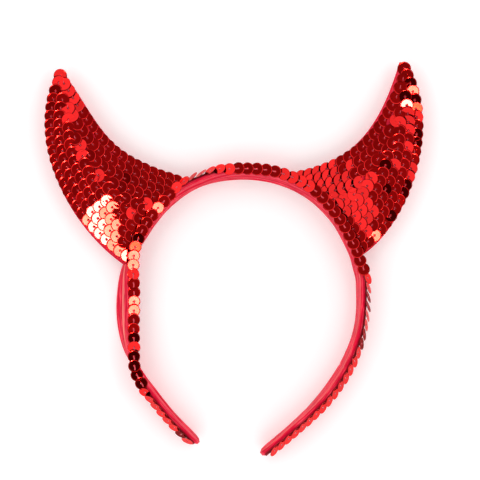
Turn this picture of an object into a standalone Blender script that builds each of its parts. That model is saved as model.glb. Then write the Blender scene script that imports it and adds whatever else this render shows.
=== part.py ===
"""Devil horns headband: a satin covered band, a string of sequins along its front edge and two padded horns.

The headband lies on its back. +Y points to the horn tips, +X to the right as seen from the front,
and +Z out of the front, so the rear edge of the band and the horn backs rest at Z = 0.
Sizes are in millimetres and become metres where a mesh is made.
"""

import math

import bmesh
import bpy
from mathutils import Matrix, Vector

MM = 0.001

# Middle of the whole outline in the band's own drawing, which becomes X = 0, Y = 0
ORIGIN = Vector((0.45, -1.15, 0.0))

# Clearance between neighbouring pieces
GAP = 0.3

# Faces that lie this flat to each other after the sequins are fused become one,
# and edges that turn more than the sharp angle aren't smoothed
FLAT_ANGLE = math.radians(1.0)
SHARP_ANGLE = math.radians(35.0)

# Band
BAND_WIDTH = 12.0
BAND_THICKNESS = 2.2
BAND_TIP_ROUND = 5.5
BAND_TIP_LEAST = 0.25
BAND_STATIONS = 72
BAND_TIP_CROWDING = 0.012
BAND_SEARCH_STEPS = 1400
BAND_EDGE_STEPS = 4

# The band's front edge from tip to tip. Lean is how far the rear edge lies nearer the head than
# the front edge does, and turn is how far the sequins on the front edge face away from the head.
BAND_ROWS = (
    # place               x       y    lean  turn
    ("left tip",       -17.2,  -90.0,   2.0,  60),
    ("left hook",      -30.6,  -76.2,   2.4,  63),
    ("left bend",      -41.7,  -62.5,   2.4,  56),
    ("left untwist",   -45.9,  -54.6,   0.8,  30),
    ("left twist",     -48.2,  -45.8,  -3.6,   8),
    ("left side",      -48.8,  -33.0,  -6.6,   0),
    ("left flat",      -48.6,  -18.0,  -7.2,   0),
    ("left horn foot", -48.9,   -4.0,  -4.2,   0),
    ("left shoulder",  -47.4,    7.0,   2.2,   0),
    ("left horn base", -41.1,   19.0,   3.8,   0),
    ("left horn top",  -32.2,   29.6,   4.2,   0),
    ("left crown",     -17.0,   40.0,   5.0,   0),
    ("crown",            2.0,   44.0,   5.0,   0),
    ("right crown",     21.0,   42.0,   5.0,   0),
    ("right horn top",  38.0,   33.6,   4.8,   0),
    ("right base",      50.4,   20.0,   3.5,   0),
    ("right foot",      59.3,    4.2,   3.9,   6),
    ("right side",      62.3,  -12.0,   3.1,  50),
    ("right arm",       61.2,  -32.0,   2.6,  62),
    ("right bend",      56.0,  -49.0,   3.1,  64),
    ("right lower arm", 46.7,  -64.4,   3.3,  64),
    ("right hook",      34.9,  -77.2,   2.6,  63),
    ("right tip",       13.5,  -95.2,   1.8,  62),
)

# Sequins, all of one size, overlapping like roof tiles
SEQUIN_DIAMETER = 6.0
TRIM_PITCH = 4.4
TRIM_SEQUIN_THICKNESS = 0.6
TRIM_SEQUIN_SIDES = 10
TRIM_TILT = math.radians(6.0)
TRIM_STANDOFF = 0.98
TRIM_SLIDE = 1.8
TRIM_TAPE_WIDTH = 1.8
TRIM_TAPE_THICKNESS = 0.5
TRIM_END_MARGIN = 3.4
TRIM_CROWN = (0.0, 44.0)

# Horns
SEAM_HEIGHT = 5.0
SEAM_THICKNESS = 1.5
HORN_FRONT_BULGE = 4.6
HORN_BACK_BULGE = 6.0
HORN_BASE_SHARE = 0.5
HORN_BASE_REACH = 0.3
HORN_FULL_WIDTH = 24.0
HORN_CROWN_POWER = 2.6
HORN_ACROSS = 10
HORN_ALONG = 18

# Sequin cloth on the horn fronts
CLOTH_THICKNESS = 1.2
CLOTH_RIM = 1.0
CLOTH_TIP_RIM = 0.985
CLOTH_CLEARANCE = 0.4

# Horn outlines: each edge runs from the band to the tip as one cubic curve.
HORNS = (
    # side     edge     start               first handle      second handle     end
    ("left",  "inner", (-21.5, 39.5),      (-63.0, 49.0),    (-62.5, 62.0),    (-83.0, 91.5)),
    ("left",  "outer", (-54.5, -3.5),      (-82.0, 16.5),    (-102.5, 60.0),   (-86.0, 91.0)),
    ("right", "inner", (28.5, 41.5),       (60.0, 47.0),     (71.5, 65.0),     (79.5, 95.0)),
    ("right", "outer", (64.0, 1.0),        (85.5, 14.5),     (102.5, 66.0),    (86.5, 93.8)),
)

# Finishes: base colour, metallic, roughness
FINISHES = {
    "satin": ((0.62, 0.01, 0.05), 0.0, 0.35),
    "sequin": ((0.45, 0.0, 0.01), 0.9, 0.18),
    "felt": ((0.55, 0.01, 0.03), 0.0, 0.9),
}


def clear_scene():
    """Remove every object of the scene."""
    for item in list(bpy.data.objects):
        bpy.data.objects.remove(item, do_unlink=True)


def make_collection(name):
    """Return a new collection linked to the scene."""
    collection = bpy.data.collections.new(name)
    bpy.context.scene.collection.children.link(collection)
    return collection


def make_material(name):
    """Return a Principled material with one of the finishes."""
    colour, metallic, roughness = FINISHES[name]
    material = bpy.data.materials.new(name)
    material.use_nodes = True
    shader = material.node_tree.nodes["Principled BSDF"]
    shader.inputs["Base Color"].default_value = (*colour, 1.0)
    shader.inputs["Metallic"].default_value = metallic
    shader.inputs["Roughness"].default_value = roughness
    return material


def make_object(name, mesh, collection, finish):
    """Return an object that holds the mesh, in the collection and with its own material."""
    item = bpy.data.objects.new(name, mesh)
    mesh.materials.append(make_material(finish))
    mesh.shade_smooth()
    mesh.set_sharp_from_angle(angle=SHARP_ANGLE)
    collection.objects.link(item)
    return item


def mesh_from(bm, name):
    """Turn a bmesh in millimetres into a centred mesh in metres, with its faces pointing out."""
    bmesh.ops.recalc_face_normals(bm, faces=bm.faces)
    bmesh.ops.translate(bm, vec=-ORIGIN, verts=bm.verts)
    bmesh.ops.scale(bm, vec=(MM, MM, MM), verts=bm.verts)
    mesh = bpy.data.meshes.new(name)
    bm.to_mesh(mesh)
    bm.free()
    return mesh


class Band:
    """The band's front edge, as smooth curves through the rows of its table."""

    def __init__(self, rows):
        self.values = [tuple(float(value) for value in row[1:]) for row in rows]
        self.knots = [0.0]
        for one, other in zip(self.values, self.values[1:]):
            self.knots.append(self.knots[-1] + math.dist(one[:2], other[:2]))
        self.length = self.knots[-1]

    def slope(self, index):
        """Change of each column per millimetre at a row."""
        low = max(index - 1, 0)
        high = min(index + 1, len(self.values) - 1)
        span = self.knots[high] - self.knots[low]
        return [(b - a) / span for a, b in zip(self.values[low], self.values[high])]

    def columns(self, distance):
        """x, y, lean and turn at a distance along the band."""
        distance = min(max(distance, 0.0), self.length)
        index = 0
        while index < len(self.knots) - 2 and distance > self.knots[index + 1]:
            index += 1
        span = self.knots[index + 1] - self.knots[index]
        t = (distance - self.knots[index]) / span
        weights = (2 * t**3 - 3 * t**2 + 1, t**3 - 2 * t**2 + t, 3 * t**2 - 2 * t**3, t**3 - t**2)
        result = []
        for a, da, b, db in zip(self.values[index], self.slope(index),
                                self.values[index + 1], self.slope(index + 1)):
            result.append(weights[0] * a + weights[1] * span * da
                          + weights[2] * b + weights[3] * span * db)
        return result

    def along(self, distance):
        """Unit direction of the front edge, toward the right tip."""
        step = 0.5
        start = self.columns(distance - step)
        end = self.columns(distance + step)
        return Vector((end[0] - start[0], end[1] - start[1], 0.0)).normalized()

    def outward(self, distance):
        """Unit direction in the XY plane that points away from the head."""
        along = self.along(distance)
        return Vector((-along.y, along.x, 0.0))

    def front(self, distance):
        """Centre of the rounded front edge."""
        x, y, lean, turn = self.columns(distance)
        span = BAND_WIDTH - BAND_THICKNESS
        return Vector((x, y, BAND_THICKNESS / 2 + math.sqrt(span**2 - lean**2)))

    def rear(self, distance):
        """Centre of the rounded rear edge, which rests on the ground."""
        lean = self.columns(distance)[2]
        point = self.front(distance) - self.outward(distance) * lean
        point.z = BAND_THICKNESS / 2
        return point

    def side(self, distance, height):
        """Point in the XY plane just off the band's outer face, at a height over the ground."""
        front = self.front(distance)
        rise = front.z - BAND_THICKNESS / 2
        lean = self.columns(distance)[2]
        span = math.hypot(rise, lean)
        offset = BAND_THICKNESS / 2 + GAP
        out = offset * rise / span
        drop = front.z - offset * lean / span - height
        return front.xy + self.outward(distance).xy * (out - drop * lean / rise)

    def nearest(self, point):
        """Distance along the band of the place nearest a point of the XY plane."""
        places = [self.length * k / BAND_SEARCH_STEPS for k in range(BAND_SEARCH_STEPS + 1)]
        return min(places, key=lambda d: (self.front(d).xy - Vector(point)).length)


def loft(sections, name):
    """Return a closed mesh through rings of points, with a face on each end ring."""
    bm = bmesh.new()
    rings = [[bm.verts.new(point) for point in section] for section in sections]
    count = len(rings[0])
    for ring, following in zip(rings, rings[1:]):
        for k in range(count):
            after = (k + 1) % count
            bm.faces.new((ring[k], ring[after], following[after], following[k]))
    bm.faces.new(rings[0])
    bm.faces.new(reversed(rings[-1]))
    return mesh_from(bm, name)


def slab(top, bottom, name):
    """Return a closed mesh between two grids of points, with walls round their borders."""
    bm = bmesh.new()
    upper = [[bm.verts.new(point) for point in row] for row in top]
    lower = [[bm.verts.new(point) for point in row] for row in bottom]
    rows = len(upper)
    columns = len(upper[0])
    for grid in (upper, lower):
        for i in range(rows - 1):
            for j in range(columns - 1):
                bm.faces.new((grid[i][j], grid[i][j + 1], grid[i + 1][j + 1], grid[i + 1][j]))
    border = [(0, j) for j in range(columns)]
    border += [(i, columns - 1) for i in range(1, rows)]
    border += [(rows - 1, j) for j in range(columns - 2, -1, -1)]
    border += [(i, 0) for i in range(rows - 2, 0, -1)]
    for (i, j), (m, n) in zip(border, border[1:] + border[:1]):
        bm.faces.new((upper[i][j], upper[m][n], lower[m][n], lower[i][j]))
    return mesh_from(bm, name)


def frame_matrix(centre, along, normal):
    """Matrix that puts a flat disc at a centre, with one axis along and its face to the normal."""
    normal = normal.normalized()
    side = normal.cross(along).normalized()
    along = side.cross(normal).normalized()
    matrix = Matrix((along, side, normal)).transposed().to_4x4()
    matrix.translation = centre
    return matrix


def sequin_mesh(matrices, sides, thickness, name):
    """Return one mesh that holds a short cylinder for each matrix."""
    bm = bmesh.new()
    radius = SEQUIN_DIAMETER / 2 / math.cos(math.pi / sides)
    for matrix in matrices:
        bmesh.ops.create_cone(bm, cap_ends=True, segments=sides, radius1=radius, radius2=radius,
                              depth=thickness, matrix=matrix)
    return mesh_from(bm, name)


def outer_shell(mesh):
    """Keep only the largest connected shell, without the pockets sealed under the sequins."""
    bm = bmesh.new()
    bm.from_mesh(mesh)
    shells = []
    unseen = set(bm.verts)
    while unseen:
        start = unseen.pop()
        shell = [start]
        waiting = [start]
        while waiting:
            vert = waiting.pop()
            for edge in vert.link_edges:
                other = edge.other_vert(vert)
                if other in unseen:
                    unseen.remove(other)
                    shell.append(other)
                    waiting.append(other)
        shells.append(shell)
    shells.sort(key=len)
    pockets = [vert for shell in shells[:-1] for vert in shell]
    bmesh.ops.delete(bm, geom=pockets, context="VERTS")
    bmesh.ops.dissolve_limit(bm, angle_limit=FLAT_ANGLE, verts=bm.verts, edges=bm.edges)
    bm.to_mesh(mesh)
    bm.free()


def fuse(carrier_mesh, sequins_mesh, name, cutters, collection, finish):
    """Return an object whose carrier and sequins are joined into one body."""
    carrier = bpy.data.objects.new(name + "_carrier", carrier_mesh)
    sequins = bpy.data.objects.new(name + "_sequins", sequins_mesh)
    for item in (carrier, sequins):
        item.hide_render = True
        item.display_type = "WIRE"
        cutters.objects.link(item)
    modifier = carrier.modifiers.new("join", "BOOLEAN")
    modifier.operation = "UNION"
    modifier.solver = "EXACT"
    modifier.use_self = True
    modifier.object = sequins
    depsgraph = bpy.context.evaluated_depsgraph_get()
    mesh = bpy.data.meshes.new_from_object(carrier.evaluated_get(depsgraph))
    mesh.name = name
    outer_shell(mesh)
    for item in (carrier, sequins):
        bpy.data.objects.remove(item, do_unlink=True)
    mesh.materials.clear()
    return make_object(name, mesh, collection, finish)


def build_headband(band, collection):
    """The satin covered band: one leaning strip with rounded edges and rounded tips."""
    radius = BAND_THICKNESS / 2
    sections = []
    for k in range(BAND_STATIONS + 1):
        # stations crowd toward the tips, where the strip is rounded
        share = k / BAND_STATIONS
        distance = band.length * (share - BAND_TIP_CROWDING * math.sin(4 * math.pi * share))
        near = min(distance, band.length - distance)
        round_share = 1.0
        if near < BAND_TIP_ROUND:
            round_share = math.sqrt(max(0.0, 1 - (1 - near / BAND_TIP_ROUND) ** 2))
            round_share = max(round_share, BAND_TIP_LEAST)
        front = band.front(distance)
        rear = band.rear(distance)
        middle = (front + rear) / 2
        half = (front - rear) / 2 * round_share
        up = (front - rear).normalized()
        out = band.along(distance).cross(up)
        section = []
        for sign in (1, -1):
            for step in range(BAND_EDGE_STEPS + 1):
                angle = math.pi * (0.5 - step / BAND_EDGE_STEPS)
                offset = (out * math.sin(angle) + up * math.cos(angle)) * radius * sign
                section.append(middle + half * sign + offset)
        sections.append(section)
    return make_object("headband", loft(sections, "headband"), collection, "satin")


def trim_place(band, distance):
    """Centre, direction and facing of the sequin string at a distance along the band."""
    turn = math.radians(band.columns(distance)[3])
    out = band.outward(distance)
    normal = Vector((0, 0, 1)) * math.cos(turn) + out * math.sin(turn)
    across = out * math.cos(turn) - Vector((0, 0, 1)) * math.sin(turn)
    centre = band.front(distance) + normal * (BAND_THICKNESS / 2 + TRIM_STANDOFF)
    centre += across * TRIM_SLIDE * math.sin(turn)
    return centre, band.along(distance), normal, across


def build_trim(band, collection, cutters):
    """The string of overlapping sequins, on a narrow tape along the front edge."""
    crown = band.nearest(TRIM_CROWN)
    sections = []
    steps = int(band.length / TRIM_PITCH)
    for k in range(steps + 1):
        distance = TRIM_END_MARGIN + (band.length - 2 * TRIM_END_MARGIN) * k / steps
        centre, along, normal, across = trim_place(band, distance)
        half_width = across * TRIM_TAPE_WIDTH / 2
        half_thickness = normal * TRIM_TAPE_THICKNESS / 2
        sections.append([centre + half_width + half_thickness, centre - half_width + half_thickness,
                         centre - half_width - half_thickness, centre + half_width - half_thickness])
    matrices = []
    for k in range(steps + 1):
        distance = TRIM_END_MARGIN + (band.length - 2 * TRIM_END_MARGIN) * k / steps
        centre, along, normal, across = trim_place(band, distance)
        # each sequin lies over its neighbour on the crown side
        sense = 1 if distance < crown else -1
        tilted = normal * math.cos(TRIM_TILT) - along * sense * math.sin(TRIM_TILT)
        matrices.append(frame_matrix(centre, along, tilted))
    discs = sequin_mesh(matrices, TRIM_SEQUIN_SIDES, TRIM_SEQUIN_THICKNESS, "trim_discs")
    tape = loft(sections, "trim_tape")
    return fuse(tape, discs, "sequin_trim", cutters, collection, "sequin")


class Horn:
    """One horn: a pad between two curved edges that closes against the band."""

    def __init__(self, side, band):
        self.side_name = side
        self.band = band
        edges = {row[1]: [Vector(point) for point in row[2:]] for row in HORNS if row[0] == side}
        self.inner = edges["inner"]
        self.outer = edges["outer"]
        self.base_start = band.nearest(self.inner[0])
        self.base_end = band.nearest(self.outer[0])

    @staticmethod
    def bezier(points, t):
        """Point of a cubic curve."""
        s = 1 - t
        return (points[0] * s**3 + points[1] * 3 * s**2 * t
                + points[2] * 3 * s * t**2 + points[3] * t**3)

    def width(self, v):
        """Width of the horn across a section."""
        return (self.bezier(self.outer, v) - self.bezier(self.inner, v)).length

    def plan(self, u, v, height):
        """Point in the XY plane: u runs from the inner to the outer edge, v from band to tip."""
        def base(share):
            reach = self.base_start + (self.base_end - self.base_start) * share
            return self.band.side(reach, height)

        def edge(points, share):
            return self.bezier(points, v) + (base(share) - points[0]) * (1 - v) ** 3

        inner = edge(self.inner, 0)
        outer = edge(self.outer, 1)
        chord = base(0) + (base(1) - base(0)) * u
        return inner + (outer - inner) * u + (base(u) - chord) * (1 - v) ** 2

    def fullness(self, u, v):
        """Share of the full bulge: highest in the middle, lower at the tip and the band."""
        across = 1 - abs(2 * u - 1) ** HORN_CROWN_POWER
        along = min(1.0, self.width(v) / HORN_FULL_WIDTH)
        reach = min(1.0, v / HORN_BASE_REACH)
        ease = reach * reach * (3 - 2 * reach)
        return across * along * (HORN_BASE_SHARE + (1 - HORN_BASE_SHARE) * ease)

    def front_height(self, u, v):
        """Height of the pad's front over the ground."""
        return SEAM_HEIGHT + SEAM_THICKNESS / 2 + HORN_FRONT_BULGE * self.fullness(u, v)

    def back_height(self, u, v):
        """Height of the pad's back, which the ground flattens."""
        across = 1 - abs(2 * u - 1) ** HORN_CROWN_POWER
        along = min(1.0, self.width(v) / HORN_FULL_WIDTH)
        return max(0.0, SEAM_HEIGHT - SEAM_THICKNESS / 2 - HORN_BACK_BULGE * across * along)

    def front_point(self, u, v, lift=0.0):
        """Point of the pad's front, or of the cloth that lies a lift above it."""
        height = self.front_height(u, v) + lift
        return Vector((*self.plan(u, v, height), height))

    def back_point(self, u, v):
        """Point of the pad's back."""
        height = self.back_height(u, v)
        return Vector((*self.plan(u, v, height), height))

    def build_pad(self, collection):
        """The padded horn body."""
        shares = [k / HORN_ACROSS for k in range(HORN_ACROSS + 1)]
        places = [k / HORN_ALONG for k in range(HORN_ALONG + 1)]
        top = [[self.front_point(u, v) for u in shares] for v in places]
        bottom = [[self.back_point(u, v) for u in shares] for v in places]
        name = "horn_" + self.side_name
        return make_object(name, slab(top, bottom, name), collection, "felt")

    def build_sequins(self, collection):
        """The sequin cloth that covers the horn's front."""
        places = [k / HORN_ALONG * CLOTH_TIP_RIM for k in range(HORN_ALONG + 1)]
        top = []
        bottom = []
        for v in places:
            rim = CLOTH_RIM / self.width(v)
            shares = [rim + (1 - 2 * rim) * k / HORN_ACROSS for k in range(HORN_ACROSS + 1)]
            bottom.append([self.front_point(u, v, CLOTH_CLEARANCE) for u in shares])
            top.append([self.front_point(u, v, CLOTH_CLEARANCE + CLOTH_THICKNESS) for u in shares])
        name = "horn_sequins_" + self.side_name
        return make_object(name, slab(top, bottom, name), collection, "sequin")


def main():
    """Build the headband."""
    clear_scene()
    collection = make_collection("devil_horns_headband")
    cutters = make_collection("cutters")
    band = Band(BAND_ROWS)
    build_headband(band, collection)
    build_trim(band, collection, cutters)
    for side in ("left", "right"):
        horn = Horn(side, band)
        horn.build_pad(collection)
        horn.build_sequins(collection)


main()
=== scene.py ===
"""Looks of the devil horns headband: satin band, row of sequins, padded horns and their fields.

The headband lies on its back on a pale floor and the camera looks straight down on its sequined
front. Sizes are in millimetres in the band's own drawing, and become metres where a mesh is made.
"""
from __future__ import annotations

import logging
import math
import random
from dataclasses import dataclass, field
from enum import Enum
from typing import Iterable, Sequence

import bmesh
import bpy
import numpy as np
from mathutils import Matrix, Vector, noise


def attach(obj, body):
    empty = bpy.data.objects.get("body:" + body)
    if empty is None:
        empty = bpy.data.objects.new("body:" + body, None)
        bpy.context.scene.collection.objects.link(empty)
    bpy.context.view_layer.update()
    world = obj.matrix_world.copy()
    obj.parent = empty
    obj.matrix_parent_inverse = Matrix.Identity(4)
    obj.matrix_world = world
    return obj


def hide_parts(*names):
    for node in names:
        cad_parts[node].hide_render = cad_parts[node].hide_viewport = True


Triple = tuple[float, float, float]
Colour = Triple
Face = tuple[int, ...]
Item = bpy.types.Object
Material = bpy.types.Material

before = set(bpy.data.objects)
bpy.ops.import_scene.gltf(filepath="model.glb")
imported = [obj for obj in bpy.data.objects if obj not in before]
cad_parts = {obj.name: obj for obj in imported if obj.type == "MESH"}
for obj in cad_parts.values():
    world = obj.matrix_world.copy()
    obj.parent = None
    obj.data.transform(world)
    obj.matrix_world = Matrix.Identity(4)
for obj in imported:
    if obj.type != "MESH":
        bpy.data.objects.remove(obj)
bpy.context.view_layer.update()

LOG = logging.getLogger("headband")

MM = 0.001
BODY = "root"
UP = Vector((0.0, 0.0, 1.0))

# A wave texture of scale 1 has a band about every 0.31 m
WAVE_UNIT = 0.31

# Middle of the whole outline in the band's own drawing, which is X = 0, Y = 0 of the frame
ORIGIN = Vector((0.45, -1.15, 0.0))


class Glow(Enum):
    """What a sequin mirrors towards the camera, from nothing to the middle of the strong light."""

    PLAIN = "plain"
    BLACK = "black"
    RED = "red"
    ORANGE = "orange"
    PEACH = "peach"
    PALE = "pale"


@dataclass(frozen=True)
class BandRow:
    """One place on the band's front edge, in the drawing's millimetres and degrees."""

    place: str
    x: float
    y: float
    lean: float
    turn: float


@dataclass(frozen=True)
class GlowPatch:
    """A spot of the drawing where the sequins are turned to mirror one thing."""

    x: float
    y: float
    reach: float
    glow: Glow


def spots(glow: Glow, *rows: Triple) -> tuple[GlowPatch, ...]:
    """Return the patches of one glow, from rows of x, y and reach."""
    return tuple(GlowPatch(x, y, reach, glow) for x, y, reach in rows)


BAND_ROWS = (
    #        place                  x       y    lean  turn
    BandRow("left tip",          -17.2,  -90.0,   0.7,  64),
    BandRow("left hook",         -30.6,  -76.2,   0.8,  56),
    BandRow("left bend",         -40.1,  -64.6,   1.2,  54),
    BandRow("left knee",         -43.7,  -59.9,   1.1,   4),
    BandRow("left untwist",      -46.6,  -54.4,   0.4,   0),
    BandRow("left twist",        -48.2,  -45.8,  -3.6,   0),
    BandRow("left side",         -48.8,  -33.0,  -6.6,   0),
    BandRow("left flat",         -48.6,  -18.0,  -7.2,   0),
    BandRow("left horn foot",    -48.9,   -4.0,  -4.2,   0),
    BandRow("left shoulder",     -47.4,    7.0,   1.7,   0),
    BandRow("left horn base",    -41.1,   19.0,   3.0,   0),
    BandRow("left horn top",     -32.2,   29.6,   3.6,   0),
    BandRow("left crown",        -16.5,   38.0,   2.4,  76),
    BandRow("crown",               2.0,   42.8,   3.6,   8),
    BandRow("right crown",        21.0,   41.5,   4.4,   0),
    BandRow("right horn top",     38.0,   33.6,   4.1,   0),
    BandRow("right base",         50.4,   20.0,   2.8,   0),
    BandRow("right foot",         59.2,    4.2,   2.9,   0),
    BandRow("right heel",         61.7,   -4.4,   2.6,   8),
    BandRow("right side",         62.8,  -12.0,   2.1,  66),
    BandRow("right arm",          61.7,  -32.0,   1.6,  72),
    BandRow("right bend",         56.3,  -49.2,   1.9,  60),
    BandRow("right lower arm",    46.9,  -64.6,   2.1,  57),
    BandRow("right hook",         34.9,  -77.2,   1.2,  57),
    BandRow("right tip",          13.5,  -95.2,   0.6,  58),
)

TRIM_PATCHES = (
    # x, y and reach of each spot
    *spots(Glow.BLACK,
           (-46.7, 10.8, 2.2), (-48.2, -38.6, 2.2), (-48.0, -49.2, 4.2), (-46.2, -57.0, 4.4),
           (-27.1, -84.4, 2.3), (-25.0, -87.4, 2.3), (65.4, -18.4, 2.4), (65.4, -23.1, 2.4),
           (64.0, -34.8, 2.4), (62.9, -39.6, 2.4)),
    *spots(Glow.RED,
           (-29.0, 33.4, 3.0), (-24.0, 36.6, 3.4), (-48.4, -8.0, 2.3), (-48.2, -43.0, 2.2),
           (24.0, 40.6, 3.0), (28.5, 38.9, 3.0), (34.0, 36.3, 3.2)),
    *spots(Glow.ORANGE,
           (-48.2, 6.0, 2.3)),
    *spots(Glow.PEACH,
           (-37.0, 25.2, 2.4), (-48.4, 1.4, 2.3), (-48.6, -3.2, 2.3), (-48.0, -21.0, 2.3),
           (-48.0, -25.5, 2.3)),
)

LEFT_PATCHES = (
    # x, y and reach of each spot
    *spots(Glow.RED,
           (-84.0, 87.0, 3.4), (-85.4, 83.6, 2.4), (-80.6, 82.4, 3.4), (-78.8, 77.0, 3.2),
           (-77.0, 71.6, 3.4), (-78.6, 67.6, 2.8), (-74.2, 51.8, 2.6), (-72.8, 47.6, 2.6),
           (-65.2, 38.8, 2.2), (-50.4, 21.4, 2.8), (-44.2, 26.4, 2.4)),
    *spots(Glow.PEACH,
           (-70.2, 20.6, 2.7), (-60.2, 22.8, 3.0), (-56.8, 18.4, 2.7), (-57.8, 12.2, 2.8),
           (-59.2, 6.6, 3.2), (-56.2, 3.6, 2.6)),
    *spots(Glow.PALE,
           (-63.4, 27.4, 3.0), (-65.6, 21.4, 4.0), (-66.6, 15.4, 3.6), (-61.2, 17.0, 3.2),
           (-62.6, 10.6, 3.4), (-53.6, 0.8, 3.0)),
)

RIGHT_PATCHES = (
    # x, y and reach of each spot
    *spots(Glow.BLACK,
           (86.9, 85.2, 2.2), (83.5, 77.1, 2.3), (88.6, 77.1, 2.2), (88.6, 60.2, 2.4),
           (77.0, 59.8, 2.0), (87.4, 55.6, 2.4), (76.8, 52.0, 2.4), (73.8, 44.8, 2.4),
           (78.4, 39.6, 2.3), (82.5, 36.6, 2.3), (80.6, 32.8, 2.3), (74.6, 31.6, 2.4),
           (75.6, 22.2, 2.5), (58.8, 38.4, 2.0)),
    *spots(Glow.RED,
           (84.0, 68.4, 2.6), (89.3, 68.6, 2.2), (78.8, 65.0, 3.0), (84.2, 63.8, 2.6),
           (82.6, 59.6, 2.2), (82.4, 54.0, 3.2), (79.2, 44.0, 2.6), (84.6, 41.0, 2.6),
           (76.8, 26.8, 2.3), (34.0, 41.0, 4.0), (40.5, 41.0, 4.6), (46.5, 42.5, 4.6),
           (58.2, 44.6, 2.8), (53.0, 37.5, 4.6), (64.0, 37.0, 4.8), (46.0, 35.4, 4.0),
           (58.6, 32.0, 5.0), (51.5, 29.6, 4.4), (63.0, 25.0, 4.8), (56.6, 23.0, 4.6),
           (63.4, 18.0, 4.0), (64.6, 12.8, 3.0)),
    *spots(Glow.ORANGE,
           (89.0, 72.6, 2.3)),
    *spots(Glow.PEACH,
           (88.2, 81.2, 2.2), (68.9, 12.2, 2.6)),
    *spots(Glow.PALE,
           (84.0, 72.6, 2.3)),
)


class Sock:
    """A shader socket that takes part in Python arithmetic, which adds Math nodes."""

    def __init__(self, graph: "Graph", socket: bpy.types.NodeSocket) -> None:
        """Keep the socket and the graph that it belongs to."""
        self.graph = graph
        self.socket = socket

    def math(self, operation: str, other: "Sock | float", swapped: bool = False) -> "Sock":
        """Add a Math node.

        Args:
            operation: the node's operation.
            other: the second value.
            swapped: True where the other value comes first.

        Returns:
            The node's result.
        """
        first, second = (other, self) if swapped else (self, other)
        node = self.graph.node("ShaderNodeMath", {"operation": operation}, {0: first, 1: second})
        return self.graph.out(node, 0)

    def __add__(self, other: "Sock | float") -> "Sock":
        """Add."""
        return self.math("ADD", other)

    def __radd__(self, other: float) -> "Sock":
        """Add to a number."""
        return self.math("ADD", other, swapped=True)

    def __sub__(self, other: "Sock | float") -> "Sock":
        """Subtract."""
        return self.math("SUBTRACT", other)

    def __rsub__(self, other: float) -> "Sock":
        """Subtract from a number."""
        return self.math("SUBTRACT", other, swapped=True)

    def __mul__(self, other: "Sock | float") -> "Sock":
        """Multiply."""
        return self.math("MULTIPLY", other)

    def __rmul__(self, other: float) -> "Sock":
        """Multiply a number."""
        return self.math("MULTIPLY", other, swapped=True)


class Graph:
    """A node tree, with short methods that add its nodes."""

    def __init__(self, tree: bpy.types.NodeTree) -> None:
        """Empty the tree."""
        self.tree = tree
        tree.nodes.clear()

    def node(self, kind: str, settings: dict[str, object] | None = None,
             inputs: dict[int | str, object] | None = None) -> bpy.types.Node:
        """Add one node.

        Args:
            kind: the node's type.
            settings: its properties, and a ramp's stops as (place, colour) pairs.
            inputs: values or links of its sockets, by name or number.

        Returns:
            The node.
        """
        made = self.tree.nodes.new(kind)
        for name, value in (settings or {}).items():
            if name == "stops":
                self.set_stops(made.color_ramp, value)
            else:
                setattr(made, name, value)
        for name, value in (inputs or {}).items():
            if isinstance(value, Sock):
                self.tree.links.new(value.socket, made.inputs[name])
            else:
                made.inputs[name].default_value = value
        return made

    @staticmethod
    def set_stops(ramp: bpy.types.ColorRamp, stops: Sequence[tuple[float, tuple]]) -> None:
        """Give a ramp its stops, in order.

        Args:
            ramp: the ramp.
            stops: each stop's place and colour.
        """
        while len(ramp.elements) > len(stops):
            ramp.elements.remove(ramp.elements[-1])
        while len(ramp.elements) < len(stops):
            ramp.elements.new(1.0)
        for element, (place, colour) in zip(ramp.elements, stops):
            element.position = place
            element.color = (*colour, 1.0) if len(colour) == 3 else colour

    def out(self, node: bpy.types.Node, name: int | str) -> Sock:
        """Return a node's output as arithmetic socket."""
        return Sock(self, node.outputs[name])

    def noise(self, scale: float, detail: float, where: Sock, rough: float = 0.5) -> Sock:
        """Return noise between 0 and 1 at a place."""
        node = self.node("ShaderNodeTexNoise", {"noise_dimensions": "3D"},
                         {"Vector": where, "Scale": scale, "Detail": detail, "Roughness": rough})
        return self.out(node, "Fac")

    def wave(self, where: Sock, axis: str, scale: float,
             waver: Triple) -> Sock:
        """Return the bands of a weave or knit.

        Args:
            where: the place.
            axis: the axis that the bands follow one another along.
            scale: how close they are.
            waver: the distortion, its detail and the scale of that detail.

        Returns:
            Their height between 0 and 1.
        """
        distortion, detail, detail_scale = waver
        node = self.node("ShaderNodeTexWave", {"wave_type": "BANDS", "bands_direction": axis},
                         {"Vector": where, "Scale": scale, "Distortion": distortion,
                          "Detail": detail, "Detail Scale": detail_scale})
        return self.out(node, "Fac")

    def attribute(self, name: str) -> Sock:
        """Return a number that the mesh stores for each point."""
        return self.out(self.node("ShaderNodeAttribute", {"attribute_name": name}), "Fac")

    def position(self) -> Sock:
        """Return the place on the object, in metres."""
        return self.out(self.node("ShaderNodeTexCoord"), "Object")

    def stretch(self, where: Sock, factors: Triple) -> Sock:
        """Return a place with each axis multiplied by its own factor."""
        node = self.node("ShaderNodeVectorMath", {"operation": "MULTIPLY"}, {0: where, 1: factors})
        return self.out(node, "Vector")

    def mix(self, share: Sock | float, first: object, second: object) -> Sock:
        """Return a blend of two colours."""
        node = self.node("ShaderNodeMix", {"data_type": "RGBA"}, {0: share, 6: first, 7: second})
        return self.out(node, 2)

    def bump(self, height: Sock, depth: float, strength: float) -> Sock:
        """Return a normal bent by a height between 0 and 1, over a depth in metres."""
        node = self.node("ShaderNodeBump", None,
                         {"Height": height, "Distance": depth, "Strength": strength})
        return self.out(node, "Normal")

    def surface(self, inputs: dict[int | str, object]) -> None:
        """Finish the tree with a Principled shader.

        Args:
            inputs: values or links of the shader's sockets.
        """
        shader = self.node("ShaderNodeBsdfPrincipled", None, inputs)
        output = self.node("ShaderNodeOutputMaterial")
        self.tree.links.new(shader.outputs[0], output.inputs["Surface"])


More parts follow.
